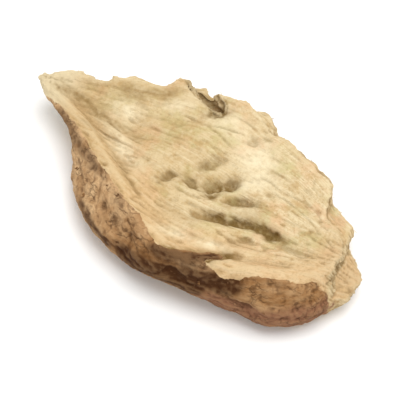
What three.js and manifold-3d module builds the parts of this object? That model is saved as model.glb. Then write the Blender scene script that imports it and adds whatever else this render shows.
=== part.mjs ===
// One chip of dried orris root, cut from the rootstock and lying on its flat underside.
// Millimetres, +Z up. The origin is on the surface that the chip rests on, under the middle of its outline.
// Seen from the front, along +Y, the curled tip is at the back left and the broken end at the front right.

import * as THREE from "three";
import { ImprovedNoise } from "three/addons/math/ImprovedNoise.js";
import { mergeVertices } from "three/addons/utils/BufferGeometryUtils.js";
import Module from "manifold-3d";

// Driving dimensions of the finished chip
const LENGTH = 20.0; // left to right
const WIDTH = 18.2; // front to back
const THICKNESS = 4.0; // from the surface up to the highest point of the rim

// The net of the chip: a box whose top becomes the cut face, its sides the edge, its bottom the underside
const FACE_CELLS = 44; // along each side of the cut face and of the underside
const EDGE_CELLS = 9; // down the edge
const BLADE_DEPTH = 0.5; // how much the blade takes off below

// The cut face
const FACE_CENTRE = new THREE.Vector3(0.8, -1.0, 2.7); // the middle of the shallow dish
const DISH_POWER = 1.7; // how late the dish rises to the rim
const EVEN_REACH = 0.14; // share of the outline over which the rim's height evens out near the middle
const LIP = { height: 0.17, ring: 0.9, spread: 0.07 }; // raised along the skin, this share of the way out

// The edge
const SKIN_SWELL = 0.4; // how far the skin bulges between the rim and the widest line
const BREAK_HOLLOW = 0.15; // how far a broken edge is hollow there
const TUCK = 1.1; // from the widest line in to the foot of the edge
const SKIN_START = 0.3; // the skin's stretch of the outline, in stations
const SKIN_END = 12.2;
const SKIN_FADE = 0.8;

// The curl of the tip, which lifts it off the surface
const CURL = { start: 4.2, length: 8.6, lift: 2.2, way: new THREE.Vector2(-0.72, 0.69) };

// Relief that drying and breaking leave. Each has a wavelength, a height and a layer of the noise.
const WAVE = { length: 4.6, height: 0.3, layer: 4.2 }; // long waves of the cut face
const LUMP = { length: 1.6, height: 0.1, layer: 8.7 };
const LEDGE = { length: 2.1, height: 0.75, rise: 0.8, steps: 3, crispness: 0.6 }; // of the broken edges
const STUB = { length: 0.85, height: 0.26 };
const SKIN_WRINKLE = { along: 0.5, down: 6.5, height: 0.3, layer: 2.5 }; // per station, down the edge

// The outline, anticlockwise from the tip. Each station has a point of the rim of the cut face
// and, below it, a point of the line where the edge stands out furthest.
const OUTLINE = [
  { rim: [-9.05, 7.35, 0.5], widest: [-9.15, 7.35, 0.1] }, // the tip
  { rim: [-6.95, 5.2, 1.55], widest: [-7.35, 5.1, 0.7] },
  { rim: [-6.0, 3.5, 2.3], widest: [-6.7, 3.2, 1.1] },
  { rim: [-5.3, 1.9, 2.75], widest: [-6.7, 1.7, 1.4] },
  { rim: [-4.5, 0.1, 3.1], widest: [-6.45, -0.3, 1.5] },
  { rim: [-3.7, -1.9, 3.3], widest: [-5.75, -2.4, 1.5] },
  { rim: [-2.7, -4.1, 3.45], widest: [-4.3, -4.4, 1.5] }, // the turn at the front left
  { rim: [-1.4, -5.65, 3.55], widest: [-2.55, -5.9, 1.5] },
  { rim: [0.65, -6.8, 3.6], widest: [0.1, -7.2, 1.4] },
  { rim: [2.95, -7.35, 3.7], widest: [2.8, -8.5, 1.3] },
  { rim: [4.85, -8.05, 3.7], widest: [5.1, -9.65, 1.2] },
  { rim: [6.9, -8.2, 3.5], widest: [7.4, -9.5, 1.2] },
  { rim: [9.1, -7.1, 3.05], widest: [9.6, -8.0, 1.2] }, // the broken end
  { rim: [10.2, -5.4, 2.8], widest: [10.8, -5.6, 1.3] },
  { rim: [9.5, -3.3, 2.75], widest: [10.2, -3.1, 1.4] },
  { rim: [9.2, -0.9, 2.7], widest: [9.6, -0.6, 1.4] },
  { rim: [7.6, 1.3, 2.7], widest: [8.1, 1.7, 1.3] },
  { rim: [5.9, 3.4, 2.7], widest: [6.3, 3.9, 1.3] },
  { rim: [4.6, 5.0, 2.7], widest: [4.9, 5.6, 1.3] }, // the torn back edge
  { rim: [2.6, 5.9, 2.6], widest: [2.7, 6.5, 1.2] },
  { rim: [0.4, 7.05, 2.45], widest: [0.4, 7.5, 1.1] },
  { rim: [-1.3, 6.9, 2.25], widest: [-1.3, 7.4, 1.0] },
  { rim: [-3.6, 7.4, 1.9], widest: [-3.7, 7.85, 0.75] },
  { rim: [-6.1, 7.75, 1.0], widest: [-6.2, 8.05, 0.35] },
];
const TIP_TURN = 1 / 2; // the tip lies at the middle of the box's left side, half a turn round

// Grooves of the cut face; a ridge has a negative depth
const CREASES = [
  // long streaks beside the skin at the left
  { line: [[-6.9, 6.0], [-5.1, 4.0], [-3.2, 0.8]], halfWidth: 0.5, depth: 0.2 },
  { line: [[-5.0, 5.8], [-3.7, 4.3], [-2.3, 3.0]], halfWidth: 0.46, depth: 0.14 },
  // the wrinkles that curve round to the broken end, with the ridges between them
  { line: [[1.5, -2.4], [2.9, -2.7], [4.6, -3.2], [6.2, -4.1]], halfWidth: 0.44, depth: -0.14 },
  { line: [[1.0, -3.0], [2.4, -3.4], [4.2, -3.9], [5.8, -4.9], [7.4, -6.0]], halfWidth: 0.4, depth: 0.32 },
  { line: [[1.4, -3.9], [2.9, -4.3], [4.6, -4.6], [6.0, -5.6]], halfWidth: 0.44, depth: -0.12 },
  { line: [[2.4, -5.4], [3.6, -5.3], [4.7, -5.2], [5.9, -5.6]], halfWidth: 0.36, depth: 0.2 },
  // the groove just above the skin at the front, inside a pale ridge
  { line: [[-1.6, -5.0], [0.6, -6.0], [3.0, -6.4], [6.3, -7.0]], halfWidth: 0.36, depth: 0.24 },
];
const UNEVEN = { length: 2.4, share: 0.6 }; // how a crease's depth varies on its way
const STEPS_PER_POINT = 8; // straight steps along a crease for each of its points

// Pits of the cut face: middle, half sizes along and across, turn in radians, depth
const PITS = [
  { at: [-0.6, 0.0], half: [0.65, 0.4], turn: 0.5, depth: 0.3 },
  { at: [0.75, -0.3], half: [0.65, 0.42], turn: -0.5, depth: 0.4 },
  { at: [2.0, -0.6], half: [0.6, 0.45], turn: 0.2, depth: 0.46 },
  { at: [3.25, -0.5], half: [0.6, 0.5], turn: -0.2, depth: 0.5 },
  { at: [3.75, -1.95], half: [1.0, 0.32], turn: -0.12, depth: 0.28 },
  { at: [2.4, 1.1], half: [0.6, 0.4], turn: 0.8, depth: 0.24 },
  { at: [4.7, 2.5], half: [0.6, 0.5], turn: 0.2, depth: 0.28 },
];

// Round scars of rootlets on the skin: station along the outline, share of the way down, radius, depth
const SCARS = [
  { station: 3.2, down: 0.42, radius: 0.5, depth: 0.26 },
  { station: 5.1, down: 0.28, radius: 0.55, depth: 0.3 },
  { station: 6.4, down: 0.4, radius: 0.6, depth: 0.34 },
  { station: 7.7, down: 0.26, radius: 0.5, depth: 0.28 },
  { station: 9.6, down: 0.45, radius: 0.6, depth: 0.3 },
  { station: 11.0, down: 0.35, radius: 0.5, depth: 0.24 },
];

// The cleft in the back edge, cut as a rough ellipsoid
const CLEFT = {
  at: [1.75, 6.05, 2.9],
  half: [1.75, 0.55, 1.3],
  turn: -0.9,
  segments: 18,
  roughness: 0.35,
  grain: 0.6,
};

const MERGE_DISTANCE = 1e-4;
const noise = new ImprovedNoise();

const ramp = THREE.MathUtils.smoothstep;
const bump = (distance) => Math.exp(-distance * distance);

// A closed smooth line through one point of every station.
function lineThrough(key) {
  const points = OUTLINE.map((station) => new THREE.Vector3(...station[key]));
  return new THREE.CatmullRomCurve3(points, true);
}

const rimLine = lineThrough("rim");
const widestLine = lineThrough("widest");

// Where a point of the box's outline lies, as a share of a turn anticlockwise from the middle of its right.
function turnOfSquare(x, y) {
  const quarter = 1 / 4;
  const eighth = 1 / 8;
  if (Math.abs(x) >= Math.abs(y)) {
    const slope = x === 0 ? 0 : y / x;
    return x >= 0 ? slope * eighth : 2 * quarter + slope * eighth;
  }
  return (y > 0 ? quarter : 3 * quarter) - (x / y) * eighth;
}

// How much of the edge is skin at a share of the outline, from 0 on a broken stretch to 1.
function skinShare(along) {
  const station = along * OUTLINE.length;
  const from = ramp(station, SKIN_START, SKIN_START + SKIN_FADE);
  const to = ramp(station, SKIN_END - SKIN_FADE, SKIN_END);
  return from * (1 - to);
}

// The plan direction that points out of the chip at a share of the outline.
function outwardAt(along) {
  const way = widestLine.getTangent(along);
  return new THREE.Vector3(way.y, -way.x, 0).normalize();
}

// The smooth section of the edge, from the rim out over the widest line and in to the foot.
function sectionAt(along) {
  const rim = rimLine.getPoint(along);
  const widest = widestLine.getPoint(along);
  const outward = outwardAt(along);
  const swell = THREE.MathUtils.lerp(-BREAK_HOLLOW, SKIN_SWELL, skinShare(along));
  const shoulder = rim.clone().lerp(widest, 0.5).addScaledVector(outward, swell);
  const foot = widest.clone().addScaledVector(outward, -TUCK).setZ(-BLADE_DEPTH);
  return new THREE.CatmullRomCurve3([rim, shoulder, widest, foot]);
}

const scars = SCARS.map(({ station, down, radius, depth }) => {
  const centre = sectionAt(station / OUTLINE.length).getPoint(down);
  return { centre, radius, depth };
});

// How far a broken edge stands out at a point: ledges where the layers parted, and fibre stubs on them.
function breakRelief({ x, y, z }) {
  const ledge = noise.noise(x / LEDGE.length, y / LEDGE.length, z / LEDGE.rise) * LEDGE.steps;
  const step = Math.round(ledge);
  const stub = noise.noise(x / STUB.length, y / STUB.length, z / STUB.length);
  const stepped = THREE.MathUtils.lerp(ledge, step, LEDGE.crispness) / LEDGE.steps;
  return LEDGE.height * stepped + STUB.height * stub;
}

// A point of the edge: down is 0 at the rim and 1 at the foot.
function edgePoint(along, down) {
  const point = sectionAt(along).getPoint(down);
  const outward = outwardAt(along);
  const skin = skinShare(along);
  const station = along * OUTLINE.length;
  const { along: often, down: rows, height, layer } = SKIN_WRINKLE;
  const wrinkle = height * noise.noise(station * often, down * rows, layer);
  let out = THREE.MathUtils.lerp(breakRelief(point), wrinkle, skin);
  for (const { centre, radius, depth } of scars) {
    out -= depth * bump(point.distanceTo(centre) / radius);
  }
  return point.addScaledVector(outward, out);
}

// Each crease as straight steps along a smooth line over the face.
const creases = CREASES.map(({ line, halfWidth, depth }) => {
  const curve = new THREE.CatmullRomCurve3(line.map(([x, y]) => new THREE.Vector3(x, y, 0)));
  const points = curve.getPoints(STEPS_PER_POINT * line.length);
  const steps = points.slice(1).map((end, i) => new THREE.Line3(points[i], end));
  return { steps, halfWidth, depth };
});

// How far a crease lowers the face at a place.
function creaseDrop({ steps, halfWidth, depth }, place) {
  const near = new THREE.Vector3();
  const distances = steps.map((step) => step.closestPointToPoint(place, true, near).distanceTo(place));
  const uneven = 1 + UNEVEN.share * noise.noise(place.x / UNEVEN.length, place.y / UNEVEN.length, depth);
  return depth * uneven * bump(Math.min(...distances) / halfWidth);
}

// How far a pit lowers the face at a place.
function pitDrop({ at, half, turn, depth }, place) {
  const offset = new THREE.Vector2(place.x - at[0], place.y - at[1]);
  offset.rotateAround(new THREE.Vector2(), -turn);
  return depth * bump(Math.hypot(offset.x / half[0], offset.y / half[1]));
}

// The height of the rim at a share of the outline, evened out by a reach either way.
function evenRimHeight(along, reach) {
  const heights = [-1, -0.5, 0, 0.5, 1].map((way) => rimLine.getPoint(along + way * reach).z);
  return heights.reduce((sum, height) => sum + height) / heights.length;
}

// A point of the cut face: ring is 0 in the middle and 1 at the rim.
function facePoint(ring, along) {
  const rim = edgePoint(along, 0);
  const point = FACE_CENTRE.clone().lerp(rim, ring);
  const rimHeight = evenRimHeight(along, EVEN_REACH * (1 - ring));
  point.z = THREE.MathUtils.lerp(FACE_CENTRE.z, rimHeight, ring ** DISH_POWER);
  const place = new THREE.Vector3(point.x, point.y, 0);
  const [wave, lump] = [WAVE, LUMP].map(
    ({ length, height, layer }) => height * noise.noise(place.x / length, place.y / length, layer),
  );
  const lip = LIP.height * bump((ring - LIP.ring) / LIP.spread) * skinShare(along);
  const drop =
    creases.reduce((sum, crease) => sum + creaseDrop(crease, place), 0) +
    PITS.reduce((sum, pit) => sum + pitDrop(pit, place), 0);
  point.z += wave + lump + lip - drop;
  return point;
}

// A point of the underside before the blade: ring is 0 in the middle and 1 at the foot of the edge.
function undersidePoint(ring, along) {
  const foot = edgePoint(along, 1);
  const middle = FACE_CENTRE.clone().setZ(-BLADE_DEPTH);
  return middle.lerp(foot, ring);
}

// Lifts a point that lies beyond the start of the curl.
function curl(point) {
  const reach = new THREE.Vector2(point.x - FACE_CENTRE.x, point.y - FACE_CENTRE.y).dot(CURL.way);
  const share = Math.max(0, reach - CURL.start) / CURL.length;
  point.z += CURL.lift * share * share;
}

// Splits each cell of the net along its shorter diagonal, so that grooves run smoothly across the cells.
function crossShorter(net) {
  const position = net.getAttribute("position");
  const corners = net.index.array;
  const cell = [0, 1, 2, 3].map(() => new THREE.Vector3());
  for (let i = 0; i < corners.length; i += 6) {
    // a cell's two triangles are a b d and b c d
    const [a, b, d, , c] = corners.slice(i, i + 5);
    [a, b, c, d].forEach((corner, k) => cell[k].fromBufferAttribute(position, corner));
    if (cell[0].distanceTo(cell[2]) < cell[1].distanceTo(cell[3])) {
      corners.set([a, b, c, a, c, d], i);
    }
  }
}

// Presses the net of a box into the chip.
function pressChip() {
  const net = new THREE.BoxGeometry(2, 2, 2, FACE_CELLS, FACE_CELLS, EDGE_CELLS);
  net.deleteAttribute("normal");
  net.deleteAttribute("uv");
  const position = net.getAttribute("position");
  const nearly = 1 - MERGE_DISTANCE;
  for (let i = 0; i < position.count; i += 1) {
    const x = position.getX(i);
    const y = position.getY(i);
    const z = position.getZ(i);
    const ring = Math.max(Math.abs(x), Math.abs(y));
    const along = THREE.MathUtils.euclideanModulo(turnOfSquare(x, y) - TIP_TURN, 1);
    let point;
    if (z > nearly) {
      point = facePoint(ring, along);
    } else if (z < -nearly) {
      point = undersidePoint(ring, along);
    } else {
      point = edgePoint(along, (1 - z) / 2);
    }
    curl(point);
    position.setXYZ(i, point.x, point.y, point.z);
  }
  crossShorter(net);
  return mergeVertices(net, MERGE_DISTANCE);
}

// The rough ellipsoid that is cut out of the back edge.
function cleftShape() {
  const shape = new THREE.SphereGeometry(1, CLEFT.segments, CLEFT.segments / 2);
  shape.deleteAttribute("normal");
  shape.deleteAttribute("uv");
  const position = shape.getAttribute("position");
  const point = new THREE.Vector3();
  for (let i = 0; i < position.count; i += 1) {
    point.fromBufferAttribute(position, i);
    const { x, y, z } = point.clone().divideScalar(CLEFT.grain);
    point.multiplyScalar(1 + CLEFT.roughness * noise.noise(x, y, z));
    position.setXYZ(i, point.x, point.y, point.z);
  }
  shape.scale(...CLEFT.half);
  shape.rotateZ(CLEFT.turn);
  shape.translate(...CLEFT.at);
  return mergeVertices(shape, MERGE_DISTANCE);
}

// The slab below the blade's cut.
function belowBlade() {
  const deep = 2 * BLADE_DEPTH;
  const slab = new THREE.BoxGeometry(2 * LENGTH, 2 * WIDTH, deep).translate(0, 0, -deep / 2);
  slab.deleteAttribute("normal");
  slab.deleteAttribute("uv");
  return mergeVertices(slab, MERGE_DISTANCE);
}

const wasm = await Module();
wasm.setup();

// A closed geometry with merged corners as a solid.
function solidOf(geometry) {
  const mesh = new wasm.Mesh({
    numProp: 3,
    vertProperties: new Float32Array(geometry.getAttribute("position").array),
    triVerts: new Uint32Array(geometry.index.array),
  });
  return new wasm.Manifold(mesh);
}

// A solid as a geometry.
function geometryOf(solid) {
  const mesh = solid.getMesh();
  const geometry = new THREE.BufferGeometry();
  geometry.setAttribute("position", new THREE.BufferAttribute(mesh.vertProperties, 3));
  geometry.setIndex(new THREE.BufferAttribute(mesh.triVerts, 1));
  return geometry;
}

// Brings the chip to its driving dimensions and sets its underside on the origin's plane.
function settle(geometry) {
  geometry.computeBoundingBox();
  const box = geometry.boundingBox;
  const middle = box.getCenter(new THREE.Vector3());
  const size = box.getSize(new THREE.Vector3());
  geometry.translate(-middle.x, -middle.y, -box.min.z);
  geometry.scale(LENGTH / size.x, WIDTH / size.y, THICKNESS / size.z);
  geometry.computeVertexNormals();
  return geometry;
}

function buildChip() {
  const solid = solidOf(pressChip()).subtract(solidOf(cleftShape())).subtract(solidOf(belowBlade()));
  const material = new THREE.MeshStandardMaterial({ color: 0xe2cc9c, roughness: 0.9, metalness: 0 });
  const chip = new THREE.Mesh(settle(geometryOf(solid)), material);
  chip.name = "root_chip";
  return chip;
}

const orrisRoot = new THREE.Group();
orrisRoot.name = "orris_root";
orrisRoot.add(buildChip());

export default orrisRoot;
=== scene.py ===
"""One dried, cut chip of orris root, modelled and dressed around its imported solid.

The chip lies on its flat underside. Its upper side is the pale cut face, its front left edge is the
brown skin of the rootstock, and its back and right edges are torn. Shaping is done on arrays in
millimetres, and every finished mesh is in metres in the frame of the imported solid.
"""
import logging
import math
from dataclasses import dataclass
from enum import Enum
from functools import cache
from itertools import product

import bmesh
import bpy
import numpy as np
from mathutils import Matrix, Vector


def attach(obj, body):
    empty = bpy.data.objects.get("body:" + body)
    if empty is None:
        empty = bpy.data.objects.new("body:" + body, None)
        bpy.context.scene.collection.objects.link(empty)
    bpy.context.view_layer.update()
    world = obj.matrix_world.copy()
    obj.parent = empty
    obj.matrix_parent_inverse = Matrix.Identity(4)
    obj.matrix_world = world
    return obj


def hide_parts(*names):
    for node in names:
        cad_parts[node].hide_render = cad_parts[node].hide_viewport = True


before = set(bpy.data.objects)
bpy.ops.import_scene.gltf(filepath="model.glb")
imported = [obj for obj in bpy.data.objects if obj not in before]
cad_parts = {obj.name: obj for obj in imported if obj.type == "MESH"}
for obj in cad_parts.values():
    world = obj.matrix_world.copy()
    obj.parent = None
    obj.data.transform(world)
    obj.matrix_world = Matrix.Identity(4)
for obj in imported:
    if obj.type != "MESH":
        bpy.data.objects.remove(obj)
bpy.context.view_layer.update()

LOG = logging.getLogger("orris_root")

MM = 0.001
NODE = "root_chip"
BODY = "root"

Pair = tuple[float, float]
Triple = tuple[float, float, float]
Span = tuple[float, float, float, float]
Colour = tuple[float, float, float, float]
Socket = bpy.types.NodeSocket


class Mask(Enum):
    """The measures that the chip's vertices carry for its finish."""

    SKIN = "skin"
    TORN = "torn"
    # Pits, clefts and creases darkened in colour: partly their own brown, partly painted shade.
    UNDERSIDE = "underside"
    STAIN_AND_SHADE = "stain"
    # How far the surface sinks below its surroundings; the finish paints shade into it.
    HOLLOW = "hollow"
    RIDGE = "ridge"
    RIM = "rim"
    BAND = "band"
    # Dark lines on the skin; the lower ones also carry painted shade.
    DARK = "dark"
    WORN = "worn"
    PALE = "pale"


class Way(Enum):
    """The vectors that the chip's vertices carry."""

    FLOW = "flow"
    GRAIN = "grain_way"


class Kind(Enum):
    """The kinds of sockets that the node groups have."""

    NUMBER = "NodeSocketFloat"
    WHOLE = "NodeSocketInt"
    VECTOR = "NodeSocketVector"
    COLOUR = "NodeSocketColor"
    GEOMETRY = "NodeSocketGeometry"
    MATERIAL = "NodeSocketMaterial"


def srgb(red: int, green: int, blue: int) -> Colour:
    """A screen colour of 0 to 255 a channel as the linear colour that a shader takes.

    Args:
        red: Red channel.
        green: Green channel.
        blue: Blue channel.

    Returns:
        Linear red, green and blue with an alpha of 1.
    """
    def linear(channel: int) -> float:
        """One channel made linear."""
        share = channel / 255
        return share / 12.92 if share <= 0.04045 else ((share + 0.055) / 1.055) ** 2.4

    return linear(red), linear(green), linear(blue), 1.0


def ramp(values: np.ndarray, low: float, high: float) -> np.ndarray:
    """Goes smoothly from 0 at low to 1 at high."""
    share = np.clip((values - low) / (high - low), 0, 1)
    return share * share * (3 - 2 * share)


def bump(distance: np.ndarray) -> np.ndarray:
    """Is 1 at no distance and fades out by a distance of about 2."""
    return np.exp(-distance * distance)


def nearest_on(knots: np.ndarray, points: np.ndarray) -> tuple[np.ndarray, np.ndarray, np.ndarray]:
    """Finds the nearest place on a line of straight steps.

    Args:
        knots: The line's knots, one a row.
        points: Points with as many coordinates as the knots, one a row.

    Returns:
        For each point, its distance from the line, the number of the step that it lies nearest to,
        and its place on that step, from 0 to 1.
    """
    distance = np.full(len(points), np.inf)
    number = np.zeros(len(points), dtype=int)
    place = np.zeros(len(points))
    for k, (a, b) in enumerate(zip(knots[:-1], knots[1:])):
        step = b - a
        share = np.clip((points - a) @ step / (step @ step), 0, 1)
        away = np.linalg.norm(points - a - share[:, None] * step, axis=1)
        nearer = away < distance
        distance[nearer] = away[nearer]
        number[nearer] = k
        place[nearer] = share[nearer]
    return distance, number, place


def add_object(name: str, data: bpy.types.ID) -> bpy.types.Object:
    """Puts an object into the scene.

    Args:
        name: The object's name.
        data: Its mesh, light or camera.

    Returns:
        The object, at the origin.
    """
    made = bpy.data.objects.new(name, data)
    bpy.context.scene.collection.objects.link(made)
    return made


def take_mesh(maker: bpy.types.Object) -> bpy.types.Mesh:
    """Takes the mesh that an object's modifier makes.

    Args:
        maker: The object, which is removed.

    Returns:
        The plain mesh.
    """
    evaluated = maker.evaluated_get(bpy.context.evaluated_depsgraph_get())
    mesh = bpy.data.meshes.new_from_object(evaluated)
    bpy.data.objects.remove(maker)
    return mesh


class Noise:
    """Smooth gradient noise over points, the same on every run."""

    SIZE = 256
    GAIN = 1.6
    SHIFT = 17.3

    def __init__(self, seed: int) -> None:
        """Lays out the lattice of slopes.

        Args:
            seed: Picks one of many lattices.
        """
        rng = np.random.default_rng(seed)
        self.order = rng.permutation(self.SIZE)
        slopes = rng.normal(size=(self.SIZE, 3))
        self.slopes = slopes / np.linalg.norm(slopes, axis=1, keepdims=True)

    def at(self, points: np.ndarray) -> np.ndarray:
        """The noise at some points.

        Args:
            points: One row of three numbers a point. The waves are about 1 long.

        Returns:
            One number a point, mostly between -1 and 1.
        """
        cell = np.floor(points).astype(int)
        inside = points - cell
        ease = inside ** 3 * (inside * (inside * 6 - 15) + 10)
        total = np.zeros(len(points))
        for corner in product((0, 1), repeat=3):
            x, y, z = ((cell + corner) % self.SIZE).T
            key = self.order[(self.order[(self.order[x] + y) % self.SIZE] + z) % self.SIZE]
            lean = ((inside - corner) * self.slopes[key]).sum(axis=1)
            share = np.where(corner, ease, 1 - ease).prod(axis=1)
            total += lean * share
        return self.GAIN * total

    def layered(self, points: np.ndarray, layers: int) -> np.ndarray:
        """Noise with finer noise laid on it.

        Args:
            points: One row of three numbers a point.
            layers: How many noises, each twice as fine and half as strong as the last.

        Returns:
            One number a point.
        """
        return sum(0.5 ** k * self.at(points * 2 ** k + self.SHIFT * k) for k in range(layers))


NOISE = Noise(seed=7)


@dataclass(frozen=True)
class Wave:
    """One kind of unevenness: how long its waves are along each axis, and how high.

    More layers make it rougher, and the shift sets it apart from other waves of its length.
    """

    length: float | Triple
    height: float
    layers: int = 3
    shift: float | Triple = 0.0

    def at(self, points: np.ndarray) -> np.ndarray:
        """How high the waves are at some points."""
        return self.height * NOISE.layered(points / self.length + self.shift, self.layers)


@dataclass
class Clay:
    """A quad mesh as arrays, in millimetres, while it is being shaped."""

    points: np.ndarray
    quads: np.ndarray

    def __post_init__(self) -> None:
        """Lists each vertex's neighbours."""
        sides = np.concatenate([self.quads[:, [k, (k + 1) % 4]] for k in range(4)])
        self.pairs = np.unique(np.sort(sides, axis=1), axis=0)
        self.degree = np.bincount(self.pairs.ravel(), minlength=len(self.points))

    def gather(self, values: np.ndarray) -> np.ndarray:
        """Averages values over each vertex's neighbours.

        Args:
            values: One number a vertex.

        Returns:
            The neighbours' mean for each vertex.
        """
        a, b = self.pairs.T
        count = len(self.points)
        total = np.bincount(a, values[b], count) + np.bincount(b, values[a], count)
        return total / self.degree

    def spread(self, values: np.ndarray, times: int, share: float = 0.6) -> np.ndarray:
        """Blurs values over the surface.

        Args:
            values: One number or one row of numbers a vertex.
            times: How many steps.
            share: How far each step goes towards the neighbours' mean.

        Returns:
            The blurred values, in the same shape.
        """
        columns = np.array(values, dtype=float).reshape(len(self.points), -1)
        for _ in range(times):
            means = np.column_stack([self.gather(column) for column in columns.T])
            columns += share * (means - columns)
        return columns.reshape(np.shape(values))

    def normals(self) -> np.ndarray:
        """Works out which way the surface faces.

        Returns:
            The unit normal at each vertex.
        """
        corners = self.points[self.quads]
        across = np.cross(corners[:, 2] - corners[:, 0], corners[:, 3] - corners[:, 1])
        count = len(self.points)
        flat = self.quads.ravel()
        sums = [np.bincount(flat, np.repeat(column, 4), count) for column in across.T]
        total = np.column_stack(sums)
        return total / np.maximum(np.linalg.norm(total, axis=1, keepdims=True), 1e-12)

    def sunk(self, times: int) -> np.ndarray:
        """How far each vertex lies below its surroundings, taken in by some steps of spreading."""
        return ((self.spread(self.points, times) - self.points) * self.normals()).sum(axis=1)


@dataclass(frozen=True)
class Fan:
    """The run of the root's fibres, which fan out from the tip and draw together at the broken end.

    The fibres lie on the arcs through the two points where they meet.
    """

    start: Pair = (-10.85, 8.9)
    end: Pair = (11.5, -7.15)
    step: float = 0.01

    def coordinates(self, points: np.ndarray) -> np.ndarray:
        """Places on the fan.

        Args:
            points: Points in millimetres.

        Returns:
            For each point, how far it lies across the fibres, how far along them, and its height.
            Across is above 0 on the skin's side. Both are in millimetres midway along the chip.
        """
        axis = np.subtract(self.end, self.start)
        half = np.linalg.norm(axis) / 2
        from_start = points[:, :2] - self.start
        from_end = points[:, :2] - self.end
        cross = from_start[:, 0] * from_end[:, 1] - from_start[:, 1] * from_end[:, 0]
        dot = (from_start * from_end).sum(axis=1)
        side = np.sign(from_start[:, 0] * axis[1] - from_start[:, 1] * axis[0])
        across = side * (np.pi - np.abs(np.arctan2(cross, dot)))
        near = np.linalg.norm(from_start, axis=1) / np.linalg.norm(from_end, axis=1)
        return np.column_stack([across * half / 2, np.log(near) * half / 2, points[:, 2]])

    def grain(self, points: np.ndarray) -> np.ndarray:
        """Works out which way the fibres run.

        Args:
            points: Points in millimetres.

        Returns:
            The unit vector along the fibres at each point.
        """
        here = self.coordinates(points)[:, 1]
        slopes = [self.coordinates(points + way)[:, 1] - here for way in np.eye(3)[:2] * self.step]
        way = np.column_stack([*slopes, np.zeros(len(points))])
        return way / np.maximum(np.linalg.norm(way, axis=1, keepdims=True), 1e-9)


@dataclass(frozen=True)
class RimLine:
    """The line where the skin meets the cut face, seen from above, from the tip to the broken end."""

    line: tuple[Pair, ...] = (
        (-10.6, 8.3), (-9.5, 7.3), (-9.1, 6.8), (-8.4, 6.3), (-7.8, 5.35), (-7.2, 4.25), (-6.8, 3.5),
        (-6.35, 2.5), (-5.9, 1.45), (-5.5, 0.65), (-5.1, -0.15), (-4.75, -0.85), (-4.35, -1.6),
        (-3.9, -2.25), (-3.45, -2.8), (-3.1, -3.4), (-2.8, -4.15), (-2.45, -4.8), (-1.9, -5.3),
        (-1.35, -5.5), (-0.75, -5.5), (0.1, -5.45), (1.0, -5.45), (1.7, -5.6), (1.6, -5.8), (1.0, -6.05),
        (0.5, -6.4), (0.95, -6.85), (1.6, -7.15), (2.35, -7.3), (3.05, -7.35), (3.95, -7.45),
        (5.85, -7.85), (8.05, -6.75), (9.6, -4.9),
    )
    rounds: int = 3

    def smooth(self) -> np.ndarray:
        """Rounds the line by cutting off its corners several times over.

        Returns:
            The knots of the rounded line.
        """
        knots = np.array(self.line)
        for _ in range(self.rounds):
            first, last = knots[:-1], knots[1:]
            cut = np.stack([0.75 * first + 0.25 * last, 0.25 * first + 0.75 * last], axis=1)
            knots = np.concatenate([knots[:1], cut.reshape(-1, 2), knots[-1:]])
        return knots

    def inward(self, points: np.ndarray) -> np.ndarray:
        """Measures points from the line.

        Args:
            points: Points in millimetres.

        Returns:
            How far each point lies inside the line, and below 0 outside it.
        """
        knots = self.smooth()
        distance, number, _ = nearest_on(knots, points[:, :2])
        step = np.diff(knots, axis=0)[number]
        offset = points[:, :2] - knots[number]
        return np.sign(step[:, 0] * offset[:, 1] - step[:, 1] * offset[:, 0]) * distance


@dataclass(frozen=True)
class Spot:
    """An oval place on the cut face: its middle, half its length and width, and its turn in radians."""

    at: Pair
    half: Pair
    turn: float
    strength: float

    def cover(self, points: np.ndarray) -> np.ndarray:
        """How strongly the spot covers each point.

        Args:
            points: Points in millimetres.

        Returns:
            One number a point, up to the spot's strength.
        """
        offset = points[:, :2] - self.at
        cos, sin = math.cos(self.turn), math.sin(self.turn)
        along = offset @ (cos, sin) / self.half[0]
        across = offset @ (-sin, cos) / self.half[1]
        return self.strength * bump(np.hypot(along, across))


@dataclass(frozen=True)
class Streak:
    """A line on the chip: a crease, a band of colour, or where the skin is dark or worn.

    Its knots have two coordinates if it is drawn from above, or three.
    """

    line: tuple[tuple[float, ...], ...]
    half_width: float
    strength: float
    fade: float = 0.2

    def cover(self, points: np.ndarray, widen: float = 1.0) -> np.ndarray:
        """How strongly the line covers each point, fading towards its ends.

        Args:
            points: Points in millimetres.
            widen: How many times wider than drawn the line is taken.

        Returns:
            One number a point, up to the line's strength.
        """
        knots = np.array(self.line)
        distance, number, share = nearest_on(knots, points[:, :knots.shape[1]])
        place = (number + share) / (len(knots) - 1)
        ends = ramp(place, 0, self.fade) * ramp(1 - place, 0, self.fade)
        return self.strength * ends * bump(distance / (widen * self.half_width))


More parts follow.
